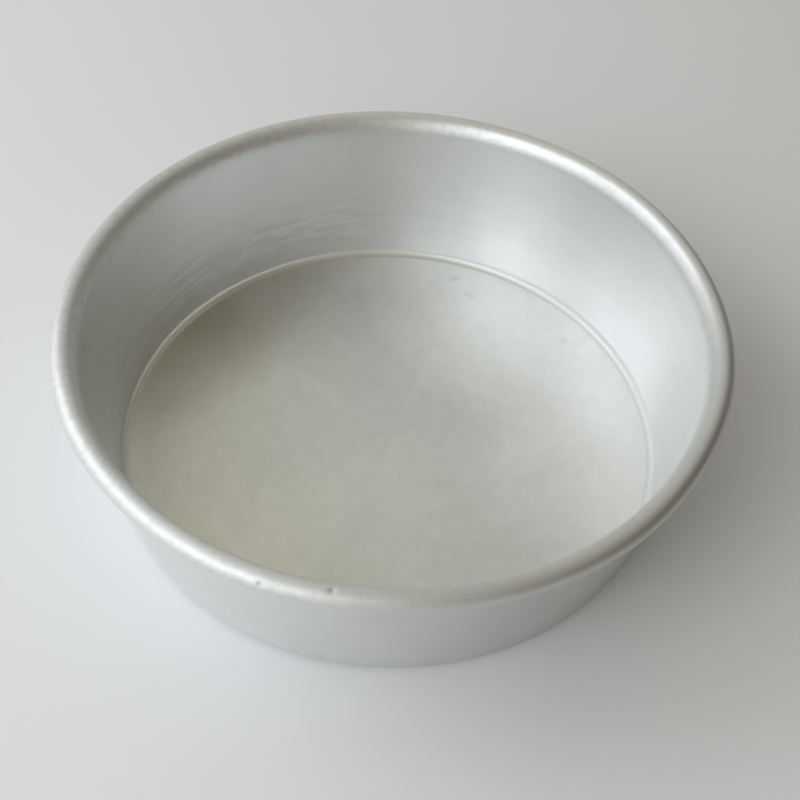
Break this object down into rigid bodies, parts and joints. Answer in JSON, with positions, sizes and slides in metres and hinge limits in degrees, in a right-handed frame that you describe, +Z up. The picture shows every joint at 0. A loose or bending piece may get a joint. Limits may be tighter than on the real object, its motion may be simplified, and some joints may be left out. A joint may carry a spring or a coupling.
{
  "type": "round cake tin",
  "caption": "Round tapered cake tin: flat base, small inside corner radius, edge rolled outwards round a steel wire.",
  "frame": {"origin": "centre of the flat base, on its underside", "axes": "+Z up along the tin's axis, out of its open mouth; the rim wire's cut ends meet at +Y"},
  "size_m": [0.22, 0.22, 0.061],
  "materials": {
    "spun_aluminium": "bare satin, fine spinning marks round the axis",
    "galvanised_wire": "dull galvanised"
  },
  "bodies": {
    "root": {"tin_body": "spun_aluminium", "rim_wire": "galvanised_wire"}
  },
  "joints": []
}
